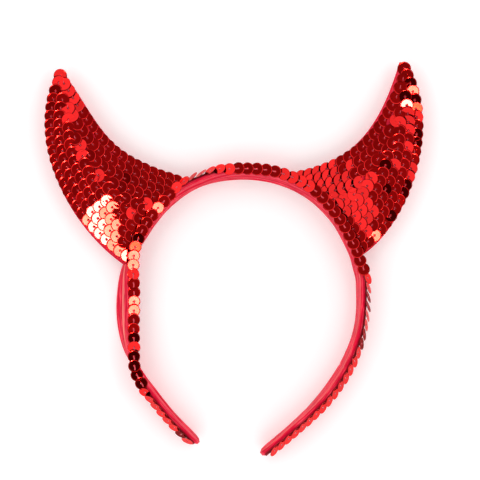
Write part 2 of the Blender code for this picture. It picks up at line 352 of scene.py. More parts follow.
def new_graph(name: str) -> tuple[Material, Graph]:
    """Return a new material and its empty graph.

    Args:
        name: the material's name.

    Returns:
        The material and the graph that fills it.
    """
    material = bpy.data.materials.new(name)
    material.use_nodes = True
    return material, Graph(material.node_tree)


def rgba(colour: Sequence[float]) -> tuple[float, float, float, float]:
    """Return a colour with full alpha."""
    return (colour[0], colour[1], colour[2], 1.0)


@dataclass(frozen=True)
class SatinFinish:
    """Shiny woven satin with lengthwise sheen, painted highlight lines, a painted highlight on its
    ridge and streaks of painted shade.
    """

    # Ends of the lengthwise streaks: the contrast is partly the satin's own tone and partly
    # painted shade and light of its wrinkles
    shade: Colour = (0.40, 0.000, 0.016)
    bright: Colour = (0.94, 0.001, 0.042)
    # Pale colour of the painted highlight lines
    painted_highlight: Colour = (1.00, 0.110, 0.150)
    # Pale colour of the painted highlight along the ridge
    painted_ridge_highlight: Colour = (1.00, 0.340, 0.270)
    roughness: float = 0.42
    roughness_spread: float = 0.16
    thread_spacing: float = 0.00022
    # Noise scales along the band, round it and through it
    streak_scales: Triple = (90.0, 1400.0, 1.0)
    cloud_scales: Triple = (260.0, 500.0, 1.0)
    cross_scales: Triple = (5200.0, 2600.0, 1.0)
    streak_share: float = 0.65
    # Where the streak noise becomes painted highlight lines, and how much of their colour is mixed
    # in
    painted_highlight_stops: tuple[float, float] = (0.53, 0.66)
    painted_highlight_share: float = 0.6
    weave_depth: float = 0.00005
    weave_strength: float = 0.35

    def material(self) -> Material:
        """Return the satin material.

        Returns:
            The finished material.
        """
        material, graph = new_graph("red_satin")
        run = graph.out(graph.node("ShaderNodeUVMap", {"uv_map": "run"}), "UV")
        streak = graph.noise(1.0, 3.0, graph.stretch(run, self.streak_scales))
        cloud = graph.noise(1.0, 2.0, graph.stretch(run, self.cloud_scales))
        # Streaks of painted shade and light along the wrinkles, mixed with the satin's own uneven
        # tone
        tone = (streak * self.streak_share + cloud * (1 - self.streak_share)) * 2.0 - 0.5
        plain = graph.mix(tone, rgba(self.shade), rgba(self.bright))
        # Painted highlight: the brightest streaks are mixed toward a pale colour
        painted_highlight = graph.node("ShaderNodeValToRGB", {
            "stops": tuple(zip(self.painted_highlight_stops, ((0.0,) * 3, (1.0,) * 3)))}, {"Fac": streak})
        painted_shine = graph.out(painted_highlight, "Color") * self.painted_highlight_share
        streaked = graph.mix(painted_shine, plain, rgba(self.painted_highlight))
        # Painted highlight along the ridge, stored on the mesh
        painted_ridge_highlight = graph.attribute("painted_ridge_highlight")
        colour = graph.mix(painted_ridge_highlight * (streak * 0.8 + 0.5), streaked, rgba(self.painted_ridge_highlight))
        weave = graph.wave(run, "Y", WAVE_UNIT / self.thread_spacing, (1.2, 1.0, 2.0))
        cross = graph.noise(1.0, 1.0, graph.stretch(run, self.cross_scales))
        height = weave * 0.5 + cross * 0.5
        graph.surface({
            "Base Color": colour,
            "Roughness": streak * self.roughness_spread
                         + (self.roughness - self.roughness_spread / 2),
            "Normal": graph.bump(height, self.weave_depth, self.weave_strength),
            "Specular IOR Level": 0.24,
            "Specular Tint": (1.0, 0.30, 0.36, 1.0),
            "Anisotropic": 0.45,
            "Sheen Weight": 0.03,
            "Sheen Roughness": 0.35,
            "Sheen Tint": (1.0, 0.3, 0.4, 1.0),
        })
        return material


@dataclass(frozen=True)
class SequinFinish:
    """Mirror-like red foil under a clear skin, with painted shade on its cut edges and on turned
    black sequins.
    """

    name: str = "red_sequin"
    deep: Colour = (0.62, 0.002, 0.002)
    bright: Colour = (0.90, 0.008, 0.008)
    # Near-black colour that paints shade on the cut edge, hole and underside, and on turned black
    # sequins
    cut_shade: Colour = (0.05, 0.0, 0.001)
    roughness: float = 0.13
    roughness_spread: float = 0.03
    cloud_scale: float = 900.0
    scuff_scale: float = 2600.0
    tone_share: float = 0.75
    coat: float = 0.38
    edge_coat_loss: float = 0.30

    def material(self) -> Material:
        """Return the sequin material, whose tone changes from sequin to sequin.

        Returns:
            The finished material.
        """
        material, graph = new_graph(self.name)
        tone = graph.attribute("tone")
        place = graph.position()
        cloud = graph.noise(self.cloud_scale, 2.0, place)
        scuff = graph.noise(self.scuff_scale, 3.0, place, 0.6)
        share = tone * self.tone_share + cloud * (1 - self.tone_share)
        foil = graph.mix(share, rgba(self.deep), rgba(self.bright))
        # Painted shade: the edge attribute turns the cut edge, hole and underside near black, and
        # turned black sequins all over
        edge = graph.attribute("edge")
        graph.surface({
            "Base Color": graph.mix(edge, foil, rgba(self.cut_shade)),
            "Metallic": 1.0,
            "Specular Tint": (1.0, 0.30, 0.30, 1.0),
            "Roughness": scuff * self.roughness_spread
                         + (self.roughness - self.roughness_spread / 2),
            "Coat Weight": self.coat - edge * self.edge_coat_loss,
            "Coat Roughness": 0.06,
        })
        return material


@dataclass(frozen=True)
class ClothFinish:
    """Plain knitted cloth of the horns."""

    name: str = "red_knit"
    shade: Colour = (0.48, 0.000, 0.016)
    bright: Colour = (0.78, 0.004, 0.040)
    cloud_scale: float = 120.0
    fuzz_scale: float = 3600.0
    rib_scale: float = 465.0
    course_scale: float = 360.0
    waver: Triple = (2.0, 2.0, 1.5)
    roughness: float = 0.6
    roughness_spread: float = 0.25
    knit_depth: float = 0.00012

    def material(self) -> Material:
        """Return the cloth material.

        Returns:
            The finished material.
        """
        material, graph = new_graph(self.name)
        place = graph.position()
        cloud = graph.noise(self.cloud_scale, 4.0, place)
        fuzz = graph.noise(self.fuzz_scale, 3.0, place, 0.65)
        ribs = graph.wave(place, "X", self.rib_scale, self.waver)
        courses = graph.wave(place, "Y", self.course_scale, self.waver)
        knit = ribs * 0.5 + courses * 0.5
        tone = cloud * 0.5 + knit * 0.3 + fuzz * 0.2
        graph.surface({
            "Base Color": graph.mix(tone, rgba(self.shade), rgba(self.bright)),
            "Roughness": fuzz * self.roughness_spread + self.roughness,
            "Normal": graph.bump(knit * 0.7 + fuzz * 0.3, self.knit_depth, 0.6),
            "Specular IOR Level": 0.2,
            "Sheen Weight": 0.12,
            "Sheen Roughness": 0.5,
            "Sheen Tint": (1.0, 0.2, 0.3, 1.0),
        })
        return material


@dataclass(frozen=True)
class ThreadFinish:
    """Shiny sewing thread."""

    name: str = "red_thread"
    colour: Colour = (0.80, 0.07, 0.10)
    roughness: float = 0.42
    twist_scale: float = 9000.0
    twist_depth: float = 0.00003
    darker: float = 0.6

    def material(self) -> Material:
        """Return the thread material, with a fine twist.

        Returns:
            The finished material.
        """
        material, graph = new_graph(self.name)
        twist = graph.noise(self.twist_scale, 2.0, graph.position())
        darker = tuple(self.darker * value for value in self.colour)
        graph.surface({
            "Base Color": graph.mix(twist, rgba(darker), rgba(self.colour)),
            "Roughness": twist * 0.2 + self.roughness,
            "Normal": graph.bump(twist, self.twist_depth, 0.5),
            "Specular IOR Level": 0.4,
        })
        return material


@dataclass(frozen=True)
class FloorFinish:
    """Plain pale paper."""

    colour: Colour = (0.97, 0.97, 0.97)
    grain_scale: float = 40.0
    grain_shade: float = 0.985
    glow: float = 0.13

    def material(self) -> Material:
        """Return the floor material.

        Returns:
            The finished material.
        """
        material, graph = new_graph("pale_floor")
        grain = graph.noise(self.grain_scale, 4.0, graph.position())
        shade = tuple(value * self.grain_shade for value in self.colour)
        graph.surface({"Base Color": graph.mix(grain, rgba(shade), rgba(self.colour)),
                       "Roughness": 0.9, "Specular IOR Level": 0.2,
                       "Emission Color": (1.0, 1.0, 1.0, 1.0), "Emission Strength": self.glow})
        return material


def mesh_object(name: str, vertices: np.ndarray | Sequence[Vector], faces: Sequence[Face],
                material: Material) -> Item:
    """Make a mesh object.

    Args:
        name: the piece's name.
        vertices: points in the drawing's millimetres, one row each.
        faces: the vertex numbers of each face.
        material: its finish.

    Returns:
        The object, linked to the scene, with its points in metres in the frame.
    """
    mesh = bpy.data.meshes.new(name)
    points = (np.asarray(vertices, dtype=float) - np.array(ORIGIN)) * MM
    mesh.from_pydata(points.tolist(), [], [tuple(face) for face in faces])
    mesh.update()
    mesh.shade_smooth()
    mesh.materials.append(material)
    return place_item(name, mesh)


def place_item(name: str, data: bpy.types.ID) -> Item:
    """Link an object to the scene.

    Args:
        name: the object's name.
        data: its mesh, light or camera.

    Returns:
        The object.
    """
    item = bpy.data.objects.new(name, data)
    bpy.context.scene.collection.objects.link(item)
    return item


def add_attribute(made: Item, name: str, values: Iterable[float]) -> None:
    """Store one number for each point of a mesh, which its material reads."""
    layer = made.data.attributes.new(name, "FLOAT", "POINT")
    layer.data.foreach_set("value", np.asarray(values, dtype=np.float32))


def ring_faces(rings: int, around: int, closed: bool = False) -> list[Face]:
    """Return the faces between rings of points.

    Args:
        rings: number of rings.
        around: points on each ring.
        closed: True where the last ring meets the first.

    Returns:
        Four vertex numbers for each face.
    """
    faces = []
    for i in range(rings if closed else rings - 1):
        low = i * around
        high = ((i + 1) % rings) * around
        for k in range(around):
            after = (k + 1) % around
            faces.append((low + k, low + after, high + after, high + k))
    return faces


def tube_faces(rings: int, around: int, start: int = 0) -> list[Face]:
    """Return the faces of a tube with closed ends.

    Args:
        rings: number of rings.
        around: points on each ring.
        start: number of the first point.

    Returns:
        The vertex numbers of each face, with the two ends last.
    """
    faces = ring_faces(rings, around)
    faces += [tuple(range(around - 1, -1, -1)), tuple(range((rings - 1) * around, rings * around))]
    return [tuple(start + index for index in face) for face in faces]


def blend_between(low: float, high: float, value: float) -> float:
    """Return 0 below low, 1 above high and a smooth step between."""
    share = min(max((value - low) / (high - low), 0.0), 1.0)
    return share * share * (3 - 2 * share)


@dataclass
class BandCurve:
    """The band's front edge, as smooth curves through the rows of its table."""

    rows: Sequence[BandRow] = BAND_ROWS
    width: float = 12.0
    thickness: float = 2.2
    gap: float = 0.3
    search_steps: int = 1400
    probe: float = 0.5
    values: list[tuple[float, ...]] = field(init=False)
    knots: list[float] = field(init=False)
    length: float = field(init=False)

    def __post_init__(self) -> None:
        """Measure the distances between the rows."""
        self.values = [(row.x, row.y, row.lean, row.turn) for row in self.rows]
        self.knots = [0.0]
        for one, other in zip(self.values, self.values[1:]):
            self.knots.append(self.knots[-1] + math.dist(one[:2], other[:2]))
        self.length = self.knots[-1]

    def slope(self, index: int) -> list[float]:
        """Return the change of each column per millimetre at a row.

        Args:
            index: the row's number.

        Returns:
            The changes of x, y, lean and turn.
        """
        low = max(index - 1, 0)
        high = min(index + 1, len(self.values) - 1)
        span = self.knots[high] - self.knots[low]
        return [(b - a) / span for a, b in zip(self.values[low], self.values[high])]

    def columns(self, distance: float) -> list[float]:
        """Return x, y, lean and turn at a distance along the band.

        Args:
            distance: millimetres along the band from the left tip.

        Returns:
            The four values there.
        """
        distance = min(max(distance, 0.0), self.length)
        index = 0
        while index < len(self.knots) - 2 and distance > self.knots[index + 1]:
            index += 1
        span = self.knots[index + 1] - self.knots[index]
        t = (distance - self.knots[index]) / span
        weights = (2 * t**3 - 3 * t**2 + 1, (t**3 - 2 * t**2 + t) * span,
                   3 * t**2 - 2 * t**3, (t**3 - t**2) * span)
        here, there = self.values[index], self.values[index + 1]
        rows = zip(here, self.slope(index), there, self.slope(index + 1))
        return [sum(w * value for w, value in zip(weights, row)) for row in rows]

    def along(self, distance: float) -> Vector:
        """Return the front edge's direction, toward the right tip.

        Args:
            distance: millimetres along the band from the left tip.

        Returns:
            A unit vector in the XY plane.
        """
        start = self.columns(distance - self.probe)
        end = self.columns(distance + self.probe)
        return Vector((end[0] - start[0], end[1] - start[1], 0.0)).normalized()

    def outward(self, distance: float) -> Vector:
        """Return the direction in the XY plane that points away from the head."""
        along = self.along(distance)
        return Vector((-along.y, along.x, 0.0))

    def front(self, distance: float) -> Vector:
        """Return the centre of the rounded front edge.

        Args:
            distance: millimetres along the band from the left tip.

        Returns:
            A point of the drawing.
        """
        x, y, lean, _ = self.columns(distance)
        span = self.width - self.thickness
        return Vector((x, y, self.thickness / 2 + math.sqrt(span**2 - lean**2)))

    def rear(self, distance: float) -> Vector:
        """Return the centre of the rounded rear edge, which rests on the floor.

        Args:
            distance: millimetres along the band from the left tip.

        Returns:
            A point of the drawing.
        """
        lean = self.columns(distance)[2]
        point = self.front(distance) - self.outward(distance) * lean
        point.z = self.thickness / 2
        return point

    def side(self, distance: float, height: float) -> Vector:
        """Return the point of the XY plane just off the outer face, at a height.

        Args:
            distance: millimetres along the band from the left tip.
            height: millimetres above the floor.

        Returns:
            The point's x and y.
        """
        front = self.front(distance)
        rise = front.z - self.thickness / 2
        lean = self.columns(distance)[2]
        span = math.hypot(rise, lean)
        offset = self.thickness / 2 + self.gap
        drop = front.z - offset * lean / span - height
        out = offset * rise / span - drop * lean / rise
        return front.xy + self.outward(distance).xy * out

    def nearest(self, point: Sequence[float]) -> float:
        """Return the distance along the band of the place nearest a point of the XY plane.

        Args:
            point: its x and y.

        Returns:
            Millimetres from the left tip.
        """
        target = Vector(point)
        places = [self.length * k / self.search_steps for k in range(self.search_steps + 1)]
        return min(places, key=lambda d: (self.front(d).xy - target).length)


@dataclass
class SatinBand:
    """The satin covered strip with its lengthwise folds and rounded tips."""

    curve: BandCurve
    stations: int = 640
    around: int = 56
    # Rounded tips
    tip_round: float = 5.5
    tip_least: float = 0.16
    # The lengthwise ridge, its place across the strip on each side, and the smaller folds
    left_ridge: float = -0.6
    right_ridge: float = 4.3
    ridge_width: float = 0.45
    ridge_height: float = 0.55
    wrinkle_height: float = 0.20
    pinch_place: float = 306.0
    pinch_depth: float = 0.4
    pinch_width: float = 0.5
    belly_height: float = 0.08
    gather_height: float = 0.12
    gather_reach: float = 14.0
    most_relief: float = 0.72
    edge_stretch: float = 0.2
    edge_fade: float = 1.4
    edge_part: int = 7
    pleat_turns: float = 3.4
    pleat_length: float = 5.0
    tip_slim: float = 0.55
    slim_reach: float = 1.6
    crowding: float = 0.012
    wander_length: float = 42.0
    wander_reach: float = 0.44
    ridge_change: tuple[float, float] = (90.0, 230.0)
    folds: tuple[tuple[float, float, float, float], ...] = (
        # length along, width across, seed and share of the wrinkle height
        (26.0, 0.85, 7.7, 1.3), (9.0, 0.5, 2.3, 0.5),
    )
    # Where the ridge's painted highlight starts and is full, and on the left fades and ends
    left_painted_shine: tuple[float, float, float, float] = (54.0, 66.0, 92.0, 104.0)
    right_painted_shine: tuple[float, float] = (236.0, 256.0)
    right_painted_shine_share: float = 0.5
    painted_shine_widths: tuple[float, float] = (0.5, 0.4)

    def outline(self) -> list[tuple[float, float, float, float]]:
        """Return the cross-section as place across, place through and the outward direction.

        Returns:
            One row for each point, in order round the strip.
        """
        radius = self.curve.thickness / 2
        flat = self.curve.width / 2 - radius
        edge_count = self.around // self.edge_part
        face_count = self.around // 2 - edge_count
        points = []
        for sign in (1, -1):
            for k in range(edge_count):
                angle = math.pi * (0.5 - k / edge_count)
                points.append((sign * (flat + radius * math.cos(angle)),
                               sign * radius * math.sin(angle),
                               sign * math.cos(angle), sign * math.sin(angle)))
            for k in range(face_count):
                place = flat * (1 - 2 * k / face_count)
                points.append((sign * place, -sign * radius, 0.0, -sign))
        return points

    def relief(self, distance: float, across: float, through: float) -> float:
        """Return how far the satin stands out at a place of the strip.

        Args:
            distance: millimetres along the band from the left tip.
            across: place across the strip from its middle, toward the front edge.
            through: place through the strip from its middle, toward the head.

        Returns:
            Millimetres out from the plain strip.
        """
        side = math.copysign(1.0, through)
        ends = min(distance, self.curve.length - distance)
        place = self.left_ridge + (self.right_ridge - self.left_ridge) * blend_between(
            *self.ridge_change, distance)
        off = across - place - self.wander(distance, side)
        ridge = math.exp(-(off / self.ridge_width) ** 2)
        pinch = self.pinch_depth * math.exp(
            -((distance - self.pinch_place) / self.pinch_width) ** 2)
        folds = self.wrinkle_height * sum(
            noise.noise((distance / length, across / width, side * seed)) * share
            for length, width, seed, share in self.folds)
        waver = noise.noise((distance / self.pleat_length, 0.0, side)) * 2.0
        pleat = math.sin(across * self.pleat_turns + waver)
        gather = (1 - blend_between(0.0, self.gather_reach, ends)) * self.gather_height * pleat
        belly = self.belly_height * (1 - (across / (self.curve.width / 2)) ** 2)
        return belly + self.ridge_height * ridge + folds + gather - pinch

    def wander(self, distance: float, side: float) -> float:
        """Return how far the lengthwise ridge strays across the strip."""
        return noise.noise((distance / self.wander_length, side * 3.1, 0.5)) * self.wander_reach

    def painted_ridge_highlight(self, distance: float, across: float, through: float) -> float:
        """Return the share of painted highlight on the satin at a place of the strip, from 0 to 1.

        Args:
            distance: millimetres along the band from the left tip.
            across: place across the strip from its middle, toward the front edge.
            through: place through the strip from its middle, toward the head.

        Returns:
            The share of the painted highlight's colour.
        """
        wander = self.wander(distance, math.copysign(1.0, through))
        if through < 0:
            reach = (blend_between(*self.left_painted_shine[:2], distance)
                     * (1 - blend_between(*self.left_painted_shine[2:], distance)))
            off = across - self.left_ridge - wander
            return reach * math.exp(-(off / self.painted_shine_widths[0]) ** 2)
        reach = self.right_painted_shine_share * blend_between(*self.right_painted_shine, distance)
        off = across - self.right_ridge - wander
        return reach * math.exp(-(off / self.painted_shine_widths[1]) ** 2)

    def build(self, material: Material) -> Item:
        """Return the satin strip.

        Args:
            material: the finish.

        Returns:
            The strip, with its run map and its attribute of painted highlight along the ridge.
        """
        outline = self.outline()
        count = len(outline)
        points = np.zeros(((self.stations + 1) * count, 3))
        run = np.zeros((len(points), 2))
        painted_shine = np.zeros(len(points))
        perimeter = 2 * (self.curve.width + self.curve.thickness)
        for i in range(self.stations + 1):
            share = i / self.stations
            distance = self.curve.length * (share - self.crowding * math.sin(4 * math.pi * share))
            near = min(distance, self.curve.length - distance)
            round_share = 1.0
            if near < self.tip_round:
                round_share = math.sqrt(max(0.0, 1 - (1 - near / self.tip_round) ** 2))
            slim = self.tip_slim + (1 - self.tip_slim) * blend_between(0.0, self.slim_reach, near)
            round_share = max(round_share, self.tip_least)
            front = self.curve.front(distance)
            rear = self.curve.rear(distance)
            middle = (front + rear) / 2
            up = (front - rear).normalized()
            out = self.curve.along(distance).cross(up)
            for k, (across, through, lean_up, lean_out) in enumerate(outline):
                lift = self.relief(distance, across, through)
                lift *= min(1.0, abs(lean_out) * self.edge_fade) * slim
                lift = min(lift, self.most_relief)
                rise = lean_up * lift * self.edge_stretch
                point = (middle + up * (across * round_share + rise)
                         + out * (through * slim + lean_out * lift))
                points[i * count + k] = point
                run[i * count + k] = (distance, perimeter * k / count)
                # Share of painted highlight on the ridge at this point
                painted_shine[i * count + k] = self.painted_ridge_highlight(distance, across, through)
        points[:, 2] = np.maximum(points[:, 2], 0.0)
        faces = tube_faces(self.stations + 1, count)
        made = mesh_object("band_satin", points, faces, material)
        self.add_run_map(made, run)
        add_attribute(made, "painted_ridge_highlight", painted_shine)
        return made

    @staticmethod
    def add_run_map(made: Item, run: np.ndarray) -> None:
        """Store the distance along and around the strip, in metres, for the weave.

        Args:
            made: the strip.
            run: both distances of each point.
        """
        layer = made.data.uv_layers.new(name="run")
        loops = np.zeros(len(made.data.loops), dtype=int)
        made.data.loops.foreach_get("vertex_index", loops)
        values = run[loops] * MM
        layer.data.foreach_set("uv", values.astype(np.float32).ravel())


@dataclass(frozen=True)
class SequinShape:
    """One sequin: a thin flat foil disc with a centre hole and a narrow raised rim."""

    segments: int = 28
    profile: tuple[tuple[float, float], ...] = (
        # radius and height, out over the face and back under it
        (0.46, 0.04), (0.52, 0.09), (0.58, 0.10), (0.64, 0.10), (2.56, 0.10), (2.64, 0.10),
        (2.70, 0.11), (2.91, 0.18), (3.00, 0.18), (3.04, 0.14), (2.92, 0.09), (2.66, 0.00),
        (0.60, 0.00),
    )
    # Rings of the profile painted near black, as shade round each sequin
    cut_shade_rings: tuple[int, ...] = (0, 8, 9, 10, 11, 12)

    def template(self) -> tuple[np.ndarray, list[Face]]:
        """Return the points and faces of one sequin round the origin.

        Returns:
            One row for each point, and four vertex numbers for each face.
        """
        points = []
        for radius, height in self.profile:
            for k in range(self.segments):
                angle = 2 * math.pi * k / self.segments
                points.append((radius * math.cos(angle), radius * math.sin(angle), height))
        faces = ring_faces(len(self.profile), self.segments, closed=True)
        return np.array(points), [tuple(reversed(face)) for face in faces]

    def scatter(self, name: str, places: Sequence["SequinPlace"],
                material: Material) -> Item:
        """Make one mesh of all the sequins of a row or field.

        Args:
            name: the piece's name.
            places: where each sequin lies.
            material: the finish.

        Returns:
            The object, with each sequin's tone and a near-black mask stored as attributes; the
            mask paints shade on the cut edge, hole and underside, and paints turned black sequins
            dark all over.
        """
        points, faces = self.template()
        count = len(points)
        everything = np.zeros((count * len(places), 3))
        all_faces = []
        base_faces = np.array(faces)
        for i, place in enumerate(places):
            matrix = np.array(place.matrix())
            scaled = points * (place.size, place.size, 1.0)
            everything[i * count:(i + 1) * count] = scaled @ matrix[:3, :3].T + matrix[:3, 3]
            all_faces.append(base_faces + i * count)
        made = mesh_object(name, everything, np.concatenate(all_faces).tolist(), material)
        add_attribute(made, "tone", np.repeat([place.tone for place in places], count))
        # Painted shade mask: near black on the cut rings, and all over where a sequin's shade is
        # set
        rings = np.repeat([float(k in self.cut_shade_rings) for k in range(len(self.profile))],
                          self.segments)
        edges = np.concatenate([np.maximum(rings, place.shade) for place in places])
        add_attribute(made, "edge", edges)
        return made


@dataclass
class SequinPlace:
    """Where one sequin lies, the direction of the neighbour that covers it, and how it faces."""

    centre: Vector
    covered: Vector
    normal: Vector
    tone: float
    size: float = 1.0
    stitch: float = 1.0
    # Share of painted dark over the whole sequin, for red sequins turned edge-on that are coloured
    # black
    shade: float = 0.0

    def matrix(self) -> Matrix:
        """Return the matrix that puts a flat disc there, with X toward its covered edge.

        Returns:
            The matrix.
        """
        normal = self.normal.normalized()
        side = normal.cross(self.covered).normalized()
        result = Matrix((side.cross(normal), side, normal)).transposed().to_4x4()
        result.translation = self.centre
        return result


@dataclass
class Mirror:
    """Turns sequins so that they mirror what the photograph shows in them."""

    eye: Vector
    lamp: Vector
    plain_lean: float = 5.6
    least_lean: float = 4.4
    most_lean: float = 7.4
    red_lean: float = 16.0
    red_turns: tuple[float, ...] = (0, 35, -35, 60, -60, 90)
    lamp_clear: float = 11.0
    plain_jitter: float = 0.8
    black_jitter: float = 0.5
    red_jitter: float = 0.9
    seed: int = 31
    rng: random.Random = field(init=False)

    def __post_init__(self) -> None:
        """Seed the small differences between sequins."""
        self.rng = random.Random(self.seed)

    def jitter(self, normal: Vector, degrees: float) -> Vector:
        """Return a normal turned by a small random angle.

        Args:
            normal: the direction to turn.
            degrees: the usual size of the turn.

        Returns:
            The unit normal.
        """
        spread = math.radians(degrees)
        push = Vector((self.rng.gauss(0, spread), self.rng.gauss(0, spread), 0.0))
        return (normal + push).normalized()

    def between(self, centre: Vector, way: Vector) -> Vector:
        """Return the normal at a place that mirrors a direction toward the camera."""
        return ((self.eye - centre).normalized() + way.normalized()).normalized()

    def aim(self, glow: Glow, centre: Vector, lean: Vector) -> Vector:
        """Choose a sequin's normal.

        Args:
            glow: what the sequin mirrors.
            centre: where it lies.
            lean: the slope that the overlap and the cloth give it, whose length is in degrees.

        Returns:
            The unit normal.
        """
        level = self.between(centre, UP)
        if glow is Glow.PLAIN:
            size = min(max(lean.length, self.least_lean), self.most_lean)
            return self.jitter(level + lean.normalized() * math.radians(size), self.plain_jitter)
        if glow is Glow.BLACK:
            return self.jitter(level, self.black_jitter)
        if glow is Glow.RED:
            view = (self.eye - centre).normalized()
            lamp = (self.lamp - centre).normalized()
            for degrees in self.red_turns:
                way = lean.normalized() * math.radians(self.red_lean)
                way.rotate(Matrix.Rotation(math.radians(degrees), 3, "Z"))
                normal = self.jitter(level + way, self.red_jitter)
                seen = 2 * normal.dot(view) * normal - view
                if seen.angle(lamp) > math.radians(self.lamp_clear):
                    break
            return normal
        turn = self.rng.uniform(0.0, 2 * math.pi)
        push = Vector((math.cos(turn), math.sin(turn), 0.0)) * math.radians(LAMP_AWAY[glow])
        return (self.between(centre, self.lamp - centre) + push).normalized()


# Degrees between a sequin's normal and the one that mirrors the lamp's middle
LAMP_AWAY = {Glow.PALE: 0.3, Glow.PEACH: 1.45, Glow.ORANGE: 2.1}


def glow_at(patches: Iterable[GlowPatch], point: Vector) -> Glow:
    """Return the glow of the nearest patch that reaches a point of the drawing.

    Args:
        patches: the spots.
        point: a sequin's centre.

    Returns:
        The glow, or plain where no spot reaches.
    """
    best = Glow.PLAIN
    closest = 1.0
    for patch in patches:
        share = math.dist((patch.x, patch.y), (point.x, point.y)) / patch.reach
        if share < closest:
            best = patch.glow
            closest = share
    return best


@dataclass
class SequinString:
    """The single row of overlapping sequins along the band's front edge, its tape and stitches."""

    curve: BandCurve
    shape: SequinShape
    mirror: Mirror
    anchor: tuple[float, float] = (-48.2, -20.9)
    # Where the sequins lie along the band and how far they stand out
    pitch: float = 4.42
    left_margin: float = 4.6
    right_margin: float = 3.0
    flat_lean: float = 6.0
    turned_lean: float = 19.0
    standoff: float = 0.62
    turned_standoff: float = 1.0
    slide: float = 1.0
    shift: float = 0.6
    shift_change: tuple[float, float] = (46.0, 60.0)
    turned_from: float = 0.3
    turned_jitter: float = 2.2
    turned_stitch: float = 0.4
    # Painted dark for turned sequins in black spots
    turned_painted_dark: float = 0.9
    tones: tuple[float, float] = (0.25, 1.0)
    sizes: tuple[float, float] = (0.985, 1.015)
    # Tape and stitches
    tape_width: float = 2.2
    tape_thickness: float = 0.5
    tape_bevel: float = 0.8
    tape_sink: float = 0.25
    tape_slide: float = 0.55
    tape_margin: float = 1.6
    tape_steps: int = 360
    stitch_radius: float = 0.30
    stitch_reach: float = 2.1

    def frame_at(self, distance: float) -> tuple[Vector, Vector, Vector, float]:
        """Return the front edge's centre, the facing, the crosswise way and the turn's sine.

        Args:
            distance: millimetres along the band from the left tip.

        Returns:
            The four values there.
        """
        turn = math.radians(self.curve.columns(distance)[3])
        out = self.curve.outward(distance)
        normal = UP * math.cos(turn) + out * math.sin(turn)
        across = out * math.cos(turn) - UP * math.sin(turn)
        return self.curve.front(distance), normal, across, math.sin(turn)

    def places(self) -> list[SequinPlace]:
        """Return every sequin of the string, from the left tip to the right.

        Returns:
            The sequins, in order.
        """
        anchor = self.curve.nearest(self.anchor)
        first = -int((anchor - self.left_margin) / self.pitch)
        last = int((self.curve.length - self.right_margin - anchor) / self.pitch)
        found = []
        for k in range(first, last + 1):
            distance = anchor + self.pitch * k
            front, facing, across, sine = self.frame_at(distance)
            rise = self.standoff + (self.turned_standoff - self.standoff) * sine
            centre = front + facing * (self.curve.thickness / 2 + rise)
            centre += across * self.slide * sine
            if front.x < 0:
                share = 2 * blend_between(*self.shift_change, distance) - 1
                centre -= self.curve.outward(distance) * self.shift * (1 - sine) * share
            covered = -self.curve.along(distance)
            glow = glow_at(TRIM_PATCHES, centre)
            turned = sine > self.turned_from
            if turned:
                lean = math.radians(self.flat_lean + (self.turned_lean - self.flat_lean) * sine)
                normal = facing * math.cos(lean) + covered * math.sin(lean)
                normal = self.mirror.jitter(normal, self.turned_jitter)
            else:
                out = self.curve.outward(distance)
                lean = covered * self.flat_lean + out * math.degrees(math.asin(sine))
                normal = self.mirror.aim(glow, centre, lean)
            tone = self.mirror.rng.uniform(*self.tones)
            size = self.mirror.rng.uniform(*self.sizes)
            stitch = self.turned_stitch if turned else 1.0
            # Turned sequins in black spots are painted near black all over
            shade = self.turned_painted_dark if turned and glow is Glow.BLACK else 0.0
            found.append(SequinPlace(centre, covered, normal, tone, size, stitch, shade))
        return found

    def build_tape(self, material: Material) -> Item:
        """Return the narrow tape under the sequins.

        Args:
            material: the finish.

        Returns:
            The tape, as a closed strip.
        """
        low = self.curve.thickness / 2 - self.tape_sink
        high = low + self.tape_thickness
        corners = ((-1, low), (-self.tape_bevel, high), (self.tape_bevel, high), (1, low))
        reach = self.curve.length - 2 * self.tape_margin
        points = []
        for i in range(self.tape_steps + 1):
            distance = self.tape_margin + reach * i / self.tape_steps
            front, facing, across, sine = self.frame_at(distance)
            middle = front + across * self.tape_slide * sine
            for side, rise in corners:
                points.append(middle + across * side * self.tape_width / 2 + facing * rise)
        faces = tube_faces(self.tape_steps + 1, len(corners))
        return mesh_object("trim_tape", points, faces, material)

    def build(self, sequin: Material, thread: Material,
              tape: Material) -> list[Item]:
        """Return the sequins, the stitches that hold them and the tape under them.

        Args:
            sequin: the sequins' finish.
            thread: the stitches' finish.
            tape: the tape's finish.

        Returns:
            The three pieces.
        """
        places = self.places()
        string = self.shape.scatter("trim_sequins", places, sequin)
        stitches = stitch_tubes("trim_stitches", places, self.stitch_radius, self.stitch_reach,
                                thread)
        return [string, stitches, self.build_tape(tape)]


